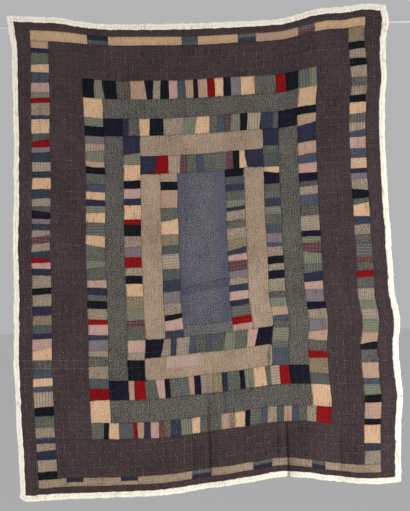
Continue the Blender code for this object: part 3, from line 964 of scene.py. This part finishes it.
centrePanel = {
    "name": "centrePanel", "slot": "blue_cloth", "line": (9, 10),
    "cloths": [  # share down, lean of its top seam, fabric
        (0.000, 0.0, "blueTwill"), (0.682, 0.026, "blueTwillDark"), (0.727, 0.023, "blueTwill"),
        (0.935, 0.003, "greyTwill")],
}
centreBox = lineBox(centrePanel["line"], centrePanel["line"])
centreTall = centreBox[3] - centreBox[2]
centreCloths = [(centreBox[3] - share * centreTall, lean, fabric)
                for share, lean, fabric in centrePanel["cloths"]]
centrePiece = makePiece(centrePanel["name"], ["centre_panel"],
                        [(centreBox, "y", centreCloths)], loose=False)

greyFrame = {"name": "greyFrame", "node": "grey_frame", "slot": "grey_tweed", "fabric": "greyTweed",
             "line": 5, "stripStart": 5, "sideStart": 7}
tanFrame = {"name": "tanFrame", "node": "tan_frame", "slot": "tan_tweed", "fabric": "tanTweed",
            "line": 7, "stripStart": 7, "sideStart": 9, "corners": {"radius": 0.013, "fabric": "indigoCloth"}}
wideBorder = {"name": "wideBorder", "node": "wide_border", "slot": "brown_cotton", "fabric": "brownCotton",
              "line": 3, "stripStart": 3, "sideStart": 4}
narrowBorder = {"name": "narrowBorder", "node": "narrow_border", "slot": "brown_cotton",
                "fabric": "brownCotton", "line": 1, "stripStart": 1, "sideStart": 2}
plainPieces = [makeFrame(spec) for spec in (greyFrame, tanFrame, wideBorder, narrowBorder)]

navySquares = {
    "name": "navySquares", "slot": "navy_cloth", "fabric": "navyCloth",
    "places": {"top_left": (5, 6), "top_right": (13, 6), "bottom_left": (5, 12), "bottom_right": (13, 12)},
}
squareStrips = []
for column, row in navySquares["places"].values():
    squareBox = lineBox((column, column + 1), (row, row + 1))
    squareStrips.append((squareBox, "x", [(squareBox[0], 0.0, navySquares["fabric"])]))
navyPiece = makePiece(navySquares["name"],
                      ["navy_square_" + corner for corner in navySquares["places"]], squareStrips)

# The given end patches are the larger blocks that square off each frame's corners
scrapFrameA = {
    "name": "scrapFrameA", "node": "scraps_a", "slot": "scrap_cloth",
    "line": 8, "stripStart": 7, "sideStart": 9,
    "seed": 41, "usual": {"top": 0.037, "bottom": 0.036, "left": 0.039, "right": 0.037},
    "top": ([(0.072, "indigoCloth"), (0.054, "redCloth")], [(0.028, "creamCloth"), (0.078, "indigoCloth")]),
    "bottom": ([(0.076, "navyCloth")], [(0.040, "pinkCloth"), (0.070, "navyCloth")]),
    "left": ([(0.036, "tanTweed"), (0.038, "blackCloth")], [(0.046, "pinkCloth"), (0.034, "tealBlue")]),
    "right": ([(0.034, "blackCloth")], [(0.034, "redCloth"), (0.030, "beigeCloth")]),
}
scrapFrameB = {
    "name": "scrapFrameB", "node": "scraps_b", "slot": "scrap_cloth",
    "line": 6, "stripStart": 6, "sideStart": 7,
    "seed": 57, "usual": {"top": 0.042, "bottom": 0.034, "left": 0.044, "right": 0.040},
    "top": ([(0.026, "indigoCloth"), (0.048, "greyTweed"), (0.046, "creamCloth"), (0.064, "blackCloth")],
            [(0.058, "tealBlue"), (0.024, "slateCloth")]),
    "bottom": ([(0.024, "beigeCloth"), (0.050, "redCloth"), (0.052, "greenGrey")],
               [(0.040, "tickingStripe"), (0.042, "redCloth")]),
    "left": ([(0.078, "indigoCloth")], [(0.034, "paleTweed"), (0.090, "blackCloth")]),
    "right": ([(0.076, "indigoCloth"), (0.036, "greenGrey")], [(0.032, "greyCheck"), (0.080, "fadedBlue")]),
}
scrapFrameC = {
    "name": "scrapFrameC", "node": "scraps_c", "slot": "scrap_cloth",
    "line": 4, "stripStart": 4, "sideStart": 5,
    "seed": 73, "usual": {"top": 0.046, "bottom": 0.038, "left": 0.039, "right": 0.038},
    "top": ([(0.056, "blackCloth"), (0.036, "sageCheck"), (0.052, "blackCloth"), (0.060, "greyTweed")],
            [(0.060, "blackCloth"), (0.052, "greyCheck"), (0.030, "sageCheck")]),
    "bottom": ([(0.056, "greenGrey"), (0.022, "blackCloth"), (0.044, "creamCloth")],
               [(0.040, "paleTweed"), (0.066, "redCloth")]),
    "left": ([(0.084, "creamCloth"), (0.038, "sageCheck"), (0.044, "blackCloth")],
             [(0.050, "redCloth"), (0.098, "creamCloth")]),
    "right": ([(0.084, "warmBeige"), (0.034, "blackCloth"), (0.046, "beigeCloth"), (0.080, "indigoCloth")],
              [(0.066, "khakiTweed"), (0.050, "slateCloth"), (0.098, "creamCloth")]),
}
outerScraps = {
    "name": "outerScraps", "node": "outer_scraps", "slot": "scrap_cloth",
    "line": 2, "stripStart": 2, "sideStart": 3,
    "seed": 12, "usual": {"left": 0.036, "right": 0.038},
    "left": ([(0.036, "beigeCloth"), (0.024, "indigoCloth"), (0.050, "greenGrey")],
             [(0.050, "paleTweed"), (0.034, "blackCloth")]),
    "right": ([(0.066, "khakiTweed"), (0.032, "blackCloth")],
              [(0.070, "beigeCloth"), (0.026, "blackCloth"), (0.078, "creamCloth"), (0.030, "tealBlue"),
               (0.056, "paleTweed")]),
    "bars": {  # long bars and short spacers, each as length and fabric, or upper and lower fabric
        "top": [(0.262, "warmBeige"), (0.092, ("indigoCloth", "slateCloth")), (0.322, "warmBeige"),
            (0.07, ("fadedBlue", "slateCloth")), (0.176, "warmBeige"), (0.08, ("greenGrey", "tealBlue")),
            (0.184, "beigeCloth"), (0.076, ("greyCheck", "maroonPlaid")), (0.238, "warmBeige")],
        "bottom": [(0.122, "tanTweed"), (0.074, ("indigoCloth", "tanTweed")), (0.164, "tanTweed"),
            (0.074, ("indigoCloth", "tanTweed")), (0.236, "tanTweed"),
            (0.082, ("greenGrey", "indigoCloth")), (0.186, "tanTweed"),
            (0.086, ("greenGrey", "indigoCloth")), (0.172, "paleTweed"),
            (0.058, ("greenGrey", "indigoCloth")), (0.246, "tanTweed")]},
}
scrapPieces = [makeFrame(spec) for spec in (scrapFrameA, scrapFrameB, scrapFrameC, outerScraps)]

# A pinker piece sewn over the upper edge of the lower tan strip
mendingPatch = {"name": "mendingPatch", "box": (0.662, 0.816, -1.516, -1.459), "raise": 0.0005}
mendStrip = (mendingPatch["box"], "x", [(0.0, 0.0, "pinkTan")])
mendPiece = makePiece(mendingPatch["name"], [], [mendStrip])
mendPlaces = readMesh(mendPiece.data.vertices, "co", 3)
mendPlaces[:, 1] -= mendingPatch["raise"] + cloth["ditch"]
setPlaces(mendPiece.data, mendPlaces)

binding = {
    "name": "binding", "slot": "binding_cotton", "pitch": 0.0052,
    "profile": [  # share of the binding's width in from the edge, lift from the back
        (1.00, 0.0024), (0.97, 0.0038), (0.90, 0.0045), (0.62, 0.0047), (0.30, 0.0046), (0.12, 0.0042),
        (0.03, 0.0033), (0.00, 0.0021), (0.02, 0.0010), (0.10, 0.0004), (0.35, 0.0002), (0.70, 0.0001),
        (0.95, 0.0002), (1.00, 0.0007)],
    "frontFrom": 0.0022, "frontRise": 0.0016,  # the lift where the front starts, and how soon it is whole
    "pucker": 0.0011, "puckerSize": 0.0085, "puckerMiddle": 0.6, "edgeWander": 0.0034, "wanderSize": 0.013,
}


def makeBindingSide(side):
    # one folded strip, mitred at both ends, as a grid whose columns follow the profile
    profile = binding["profile"]
    leftWidth, rightWidth = layout["across"][0], layout["across"][-1]
    topWidth, bottomWidth = layout["down"][0], layout["down"][-1]
    length = quiltWidth if side in ("top", "bottom") else quiltHeight
    steps = round(length / binding["pitch"])
    bm = bmesh.new()
    bmesh.ops.create_grid(bm, x_segments=len(profile) - 1, y_segments=steps, size=0.5)
    uvLayer = bm.loops.layers.uv.new("clothUV")
    uvPlace = {}
    for corner in bm.verts:
        share, lift = profile[round((corner.co.x + 0.5) * (len(profile) - 1))]
        along = corner.co.y + 0.5
        uvPlace[corner] = (share * leftWidth, along * length)
        left, right = share * leftWidth, quiltWidth - share * rightWidth
        top, bottom = -share * topWidth, -quiltHeight + share * bottomWidth
        x = {"left": left, "right": right}.get(side, left + (right - left) * along)
        y = {"top": top, "bottom": bottom}.get(side, top + (bottom - top) * along)
        corner.co = (x, y, lift)
    for face in bm.faces:
        for corner in face.loops:
            corner[uvLayer].uv = uvPlace[corner.vert]
    if side in ("right", "top"):
        bmesh.ops.reverse_faces(bm, faces=bm.faces[:])
    return bm


def makeBinding():
    whole = bmesh.new()
    for side in ("left", "right", "top", "bottom"):
        single = meshFrom("side", makeBindingSide(side))
        whole.from_mesh(single)
        bpy.data.meshes.remove(single)
    bmesh.ops.remove_doubles(whole, verts=whole.verts[:], dist=mergeDistance)
    mesh = meshFrom(binding["name"], whole)
    x, y, lift = readMesh(mesh.vertices, "co", 3).T.copy()
    inner = lineBox((1, -2), (1, -2))
    setShadeAndMarks(mesh, x, y, nearestSeam(x, y, boxEdges(inner)))
    front = smoothStep((lift - binding["frontFrom"]) / binding["frontRise"])
    pucker = softNoise(x, y, binding["puckerSize"], 41) - binding["puckerMiddle"]
    lift += front * binding["pucker"] * pucker
    lift += clothSwell(x, y)
    x += binding["edgeWander"] * (softNoise(x, y, binding["wanderSize"], 42) - 0.5)
    y += binding["edgeWander"] * (softNoise(x, y, binding["wanderSize"], 43) - 0.5)
    setPlaces(mesh, hangCloth(x, y, lift))
    nodes = ["binding_top", "binding_bottom", "binding_left", "binding_right"]
    return placePiece(mesh, [cloths["bindingCotton"]], nodes)


bindingPiece = makeBinding()

backing = {"name": "backing", "pitch": 0.0100, "inset": 0.004, "lift": 0.0005, "furrow": 0.8}


def makeBacking():
    inset = backing["inset"]
    bm = flatGrid((inset, quiltWidth - inset, inset - quiltHeight, -inset), backing["pitch"])
    bmesh.ops.reverse_faces(bm, faces=bm.faces[:])
    mesh = meshFrom(backing["name"], bm)
    flat = readMesh(mesh.vertices, "co", 3)
    x, y, raised = flat.T.copy()
    faces = len(mesh.polygons)
    setClothUv(mesh, flat, np.zeros(faces), np.zeros((faces, 2)))
    setShadeAndMarks(mesh, x, y, np.full_like(x, 1.0), 0.0)
    lift = backing["lift"] + clothSwell(x, y) + quiltingDepth(x, y) * backing["furrow"]
    setPlaces(mesh, hangCloth(x, y, lift))
    return placePiece(mesh, [cloths["backingCotton"]])


backingPiece = makeBacking()

stitching = {
    "long": 0.0034, "wide": 0.0019, "thick": 0.0011, "pitch": 0.0101, "inset": 0.030, "missing": 0.06,
    "slip": 0.0007, "wander": 0.00036, "stand": 0.22,      # how far it stands up, as a share of its thickness
    "runSize": 0.085, "areaSize": 0.45, "runLine": 0.37,
    "byRun": 0.75, "byArea": 0.35, "byHeight": 0.16, "showsFrom": 0.58, "showsOver": 0.20,
    "faintest": 0.06, "brightest": 1.02, "sunk": 0.26,     # tones between the dull and the pale thread
    "uneven": 2.0, "onPale": 0.70, "onDark": 0.62, "darkLoss": 0.12,
    "dull": (58, 51, 56), "pale": (214, 200, 178), "dark": (22, 22, 32),
    "twist": (900.0, 900.0, 1.0), "twistShare": 0.3, "roughness": 0.8,
}


def makeThread(name, dull, pale):
    material, tree, shader = newMaterial(name)
    twist = minus(tree, stretchedNoise(tree, objectPlace(tree), *stitching["twist"]), 0.5)
    level = plus(tree, readValue(tree, "tone"), times(tree, twist, stitching["twistShare"]))
    level.node.use_clamp = True
    fill(tree, shader, {"Base Color": mixColour(tree, level, shade(*dull), shade(*pale)),
                        "Roughness": stitching["roughness"]})
    return material


threadCloth = makeThread("quiltingThread", stitching["dull"], stitching["pale"])
darkThread = makeThread("mendingThread", stitching["dark"], stitching["dull"])


def repeatStitch(name, sizes, steps):
    # one small stitch, repeated along a line and then over all the lines
    bm = bmesh.new()
    bmesh.ops.create_uvsphere(bm, u_segments=4, v_segments=2, radius=0.5)
    bmesh.ops.scale(bm, vec=sizes, verts=bm.verts[:])
    item = linkMesh(name + "One", meshFrom(name + "One", bm))
    corners = len(item.data.vertices)
    for count, offset in steps:
        repeat = item.modifiers.new("repeat", "ARRAY")
        repeat.count = count
        repeat.use_relative_offset = False
        repeat.use_constant_offset = True
        repeat.constant_offset_displace = offset
    mesh = bpy.data.meshes.new_from_object(item.evaluated_get(bpy.context.evaluated_depsgraph_get()))
    mesh.name = name
    bpy.data.objects.remove(item)
    return mesh, corners


def makeStitches(name, down, seed):
    # the running stitches of all the lines that run down, or across, laid onto the quilt
    spec = stitching
    if down:
        apart, span, breadth = cloth["linesApart"], quiltHeight, quiltWidth
        sizes = (spec["wide"], spec["long"], spec["thick"])
        offsets = (0.0, -spec["pitch"], 0.0), (apart, 0.0, 0.0)
    else:
        apart, span, breadth = cloth["rowsApart"], quiltWidth, quiltHeight
        sizes = (spec["long"], spec["wide"], spec["thick"])
        offsets = (spec["pitch"], 0.0, 0.0), (0.0, -apart, 0.0)
    perLine = int((span - 2 * spec["inset"]) / spec["pitch"])
    lines = int(breadth / apart) - 1
    mesh, corners = repeatStitch(name, sizes, [(perLine, offsets[0]), (lines, offsets[1])])
    x, y, raised = readMesh(mesh.vertices, "co", 3).T.copy()
    stitch = np.arange(len(x)) // corners
    line = stitch // perLine
    chance = np.random.RandomState(seed)
    slip = chance.normal(0, spec["slip"], perLine * lines)[stitch]
    wander = chance.normal(0, spec["wander"], perLine * lines)[stitch]
    start = spec["inset"] + chance.rand(lines)[line] * spec["pitch"] * 0.5
    if down:
        x, y = x + 0.5 * apart + wander, y - start + slip
    else:
        x, y = x + start + slip, y - 0.5 * apart + wander
    driftX, driftY = lineDrift(x, y)
    x, y = x + driftX, y + driftY
    # pale thread shows in runs along a line, and sinks in between them
    runs = softNoise(line * spec["runLine"], y if down else x, spec["runSize"], seed + 5)
    area = softNoise(x, y, spec["areaSize"], seed + 6)
    seen = runs * spec["byRun"] + area * spec["byArea"] - y / quiltHeight * spec["byHeight"]
    shown = smoothStep((seen - spec["showsFrom"]) / spec["showsOver"])
    shares = chance.rand(perLine * lines)[stitch]
    tone = (spec["sunk"] + (1.0 - spec["sunk"]) * shown) * shares ** spec["uneven"]
    tone = spec["faintest"] + spec["brightest"] * tone
    tone = np.where(insideAny(x, y, threadPlaces["pale"]), spec["onPale"], tone)
    tone = np.where(insideAny(x, y, threadPlaces["dark"]), tone * spec["onDark"] - spec["darkLoss"], tone)
    addValues(mesh, "tone", np.clip(tone, 0, 1))
    setPlaces(mesh, hangCloth(x, y, quiltLift(x, y) + raised + spec["thick"] * spec["stand"]))
    lost = chance.rand(perLine * lines) < spec["missing"]
    bm = bmesh.new()
    bm.from_mesh(mesh)
    bm.verts.ensure_lookup_table()
    gone = [corner for corner in bm.verts if lost[corner.index // corners]]
    bmesh.ops.delete(bm, geom=gone, context="VERTS")
    bm.to_mesh(mesh)
    bm.free()
    return placePiece(mesh, [threadCloth])


stitchPieces = [makeStitches("stitchLines", True, 61), makeStitches("stitchRows", False, 62)]

mendStitches = {"name": "mendStitches", "long": 0.0058, "wide": 0.0019, "thick": 0.0014, "pitch": 0.0108,
                "inset": 0.014, "below": 0.001}


def makeMendStitches():
    # dark stitches along the seams of the centre panel's mended band and foot
    spec = mendStitches
    size = Matrix.Diagonal((spec["long"], spec["wide"], spec["thick"], 1.0))
    wide = centreBox[1] - centreBox[0]
    bm = bmesh.new()
    for start, lean, fabric in centreCloths[1:]:
        for step in range(round((wide - 2 * spec["inset"]) / spec["pitch"])):
            across = spec["inset"] + step * spec["pitch"]
            y = start + lean * (across / wide - 0.5) - spec["below"]
            place = Matrix.Translation((centreBox[0] + across, y, 0.0))
            bmesh.ops.create_uvsphere(bm, u_segments=6, v_segments=4, radius=0.5, matrix=place @ size)
    mesh = meshFrom(spec["name"], bm)
    x, y, raised = readMesh(mesh.vertices, "co", 3).T.copy()
    addValues(mesh, "tone", np.zeros_like(x))
    setPlaces(mesh, hangCloth(x, y, quiltLift(x, y) - cloth["ditch"] * 0.5 + raised))
    return placePiece(mesh, [darkThread])


stitchPieces.append(makeMendStitches())

rod = {"name": "hangingRod", "length": 1.90, "sides": 32, "endRound": 0.0008,
       "colour": (226, 222, 214), "dull": (196, 190, 180), "roughness": 0.42,
       "rubbed": (14.0, 60.0, 3.0), "grain": (500.0, 500.0, 2.0), "grainStrength": 0.2, "grainDepth": 0.0002}


def makeRod():
    bm = bmesh.new()
    alongX = Matrix.Translation((rod["length"] / 2, 0.0, 0.0)) @ Matrix.Rotation(math.pi / 2, 4, "Y")
    bmesh.ops.create_cone(bm, cap_ends=True, segments=rod["sides"], radius1=layout["rodRadius"],
                          radius2=layout["rodRadius"], depth=rod["length"], matrix=alongX)
    rims = [edge for edge in bm.edges if abs(edge.verts[0].co.x - edge.verts[1].co.x) < 0.001]
    bmesh.ops.bevel(bm, geom=rims, offset=rod["endRound"], affect="EDGES", segments=3, profile=0.5,
                    material=-1)
    material, tree, shader = newMaterial("paintedRod")
    place = objectPlace(tree)
    rubbed = stretchedNoise(tree, place, *rod["rubbed"])
    grain = stretchedNoise(tree, place, *rod["grain"])
    bump = addNode(tree, "ShaderNodeBump", {
        "Height": grain, "Strength": rod["grainStrength"], "Distance": rod["grainDepth"]})
    fill(tree, shader, {"Base Color": mixColour(tree, rubbed, shade(*rod["dull"]), shade(*rod["colour"])),
                        "Normal": bump.outputs[0], "Roughness": rod["roughness"]})
    return placePiece(meshFrom(rod["name"], bm), [material], ["rod"])


makeRod()

# Pale floor and plain light
studio = {"floorHeight": -3.60, "halfWide": 40.0, "colour": (240, 240, 239), "roughness": 0.95,
          "wall": (0.98, 0.985, 1.0, 1.0), "wallLight": 0.465}


def makeStudio():
    bm = bmesh.new()
    bmesh.ops.create_grid(bm, x_segments=1, y_segments=1, size=studio["halfWide"])
    bmesh.ops.translate(bm, vec=(rod["length"] / 2, 0.0, studio["floorHeight"]), verts=bm.verts[:])
    mesh = meshFrom("studio", bm)
    material, tree, shader = newMaterial("studioPaper")
    fill(tree, shader, {"Base Color": shade(*studio["colour"]), "Roughness": studio["roughness"]})
    mesh.materials.append(material)
    linkMesh("studio", mesh)


makeStudio()

lamps = {  # place, aim, size, watts
    "key": ((4.9, -2.6, -1.62), (0.95, 0.0, -1.45), 1.2, 61.0),
    "fill": ((-2.6, -3.6, -1.5), (0.95, 0.0, -1.45), 2.2, 32.0),
    "back": ((0.95, 6.5, 3.2), (0.95, 0.0, -1.0), 2.4, 60.0),
}
lampSpread = 110.0  # degrees


def makeLamps():
    for name, (place, aim, size, watts) in lamps.items():
        light = bpy.data.lights.new(name, "AREA")
        light.size = size
        light.energy = watts
        light.spread = math.radians(lampSpread)
        item = linkMesh(name, light)
        item.location = place
        item.rotation_euler = (Vector(aim) - Vector(place)).to_track_quat("-Z", "Y").to_euler()
    world = bpy.data.worlds.new("softRoom")
    world.use_nodes = True
    fill(world.node_tree, world.node_tree.nodes["Background"], {
        "Color": studio["wall"], "Strength": studio["wallLight"]})
    bpy.context.scene.world = world


makeLamps()

# The photo is 410 by 511 pixels, 4.44 mm to a pixel on the quilt, with the rod 0.88 degrees off level
view = {
    "centre": (0.950, -1.0248), "away": 6.0, "pictureHeight": 511 * 0.00444, "sensor": 36.0,
    "roll": -0.0153,
}


def makeCamera():
    camera = bpy.data.cameras.new("camera")
    camera.sensor_width = view["sensor"]
    camera.lens = view["sensor"] * view["away"] / view["pictureHeight"]
    item = linkMesh("camera", camera)
    place = Matrix.Translation((view["centre"][0], -view["away"], view["centre"][1]))
    item.matrix_world = place @ Matrix.Rotation(math.pi / 2, 4, "X") @ Matrix.Rotation(view["roll"], 4, "Z")
    bpy.context.scene.camera = item


makeCamera()
bpy.context.scene.view_settings.view_transform = "Standard"
print("camera and lamps set")
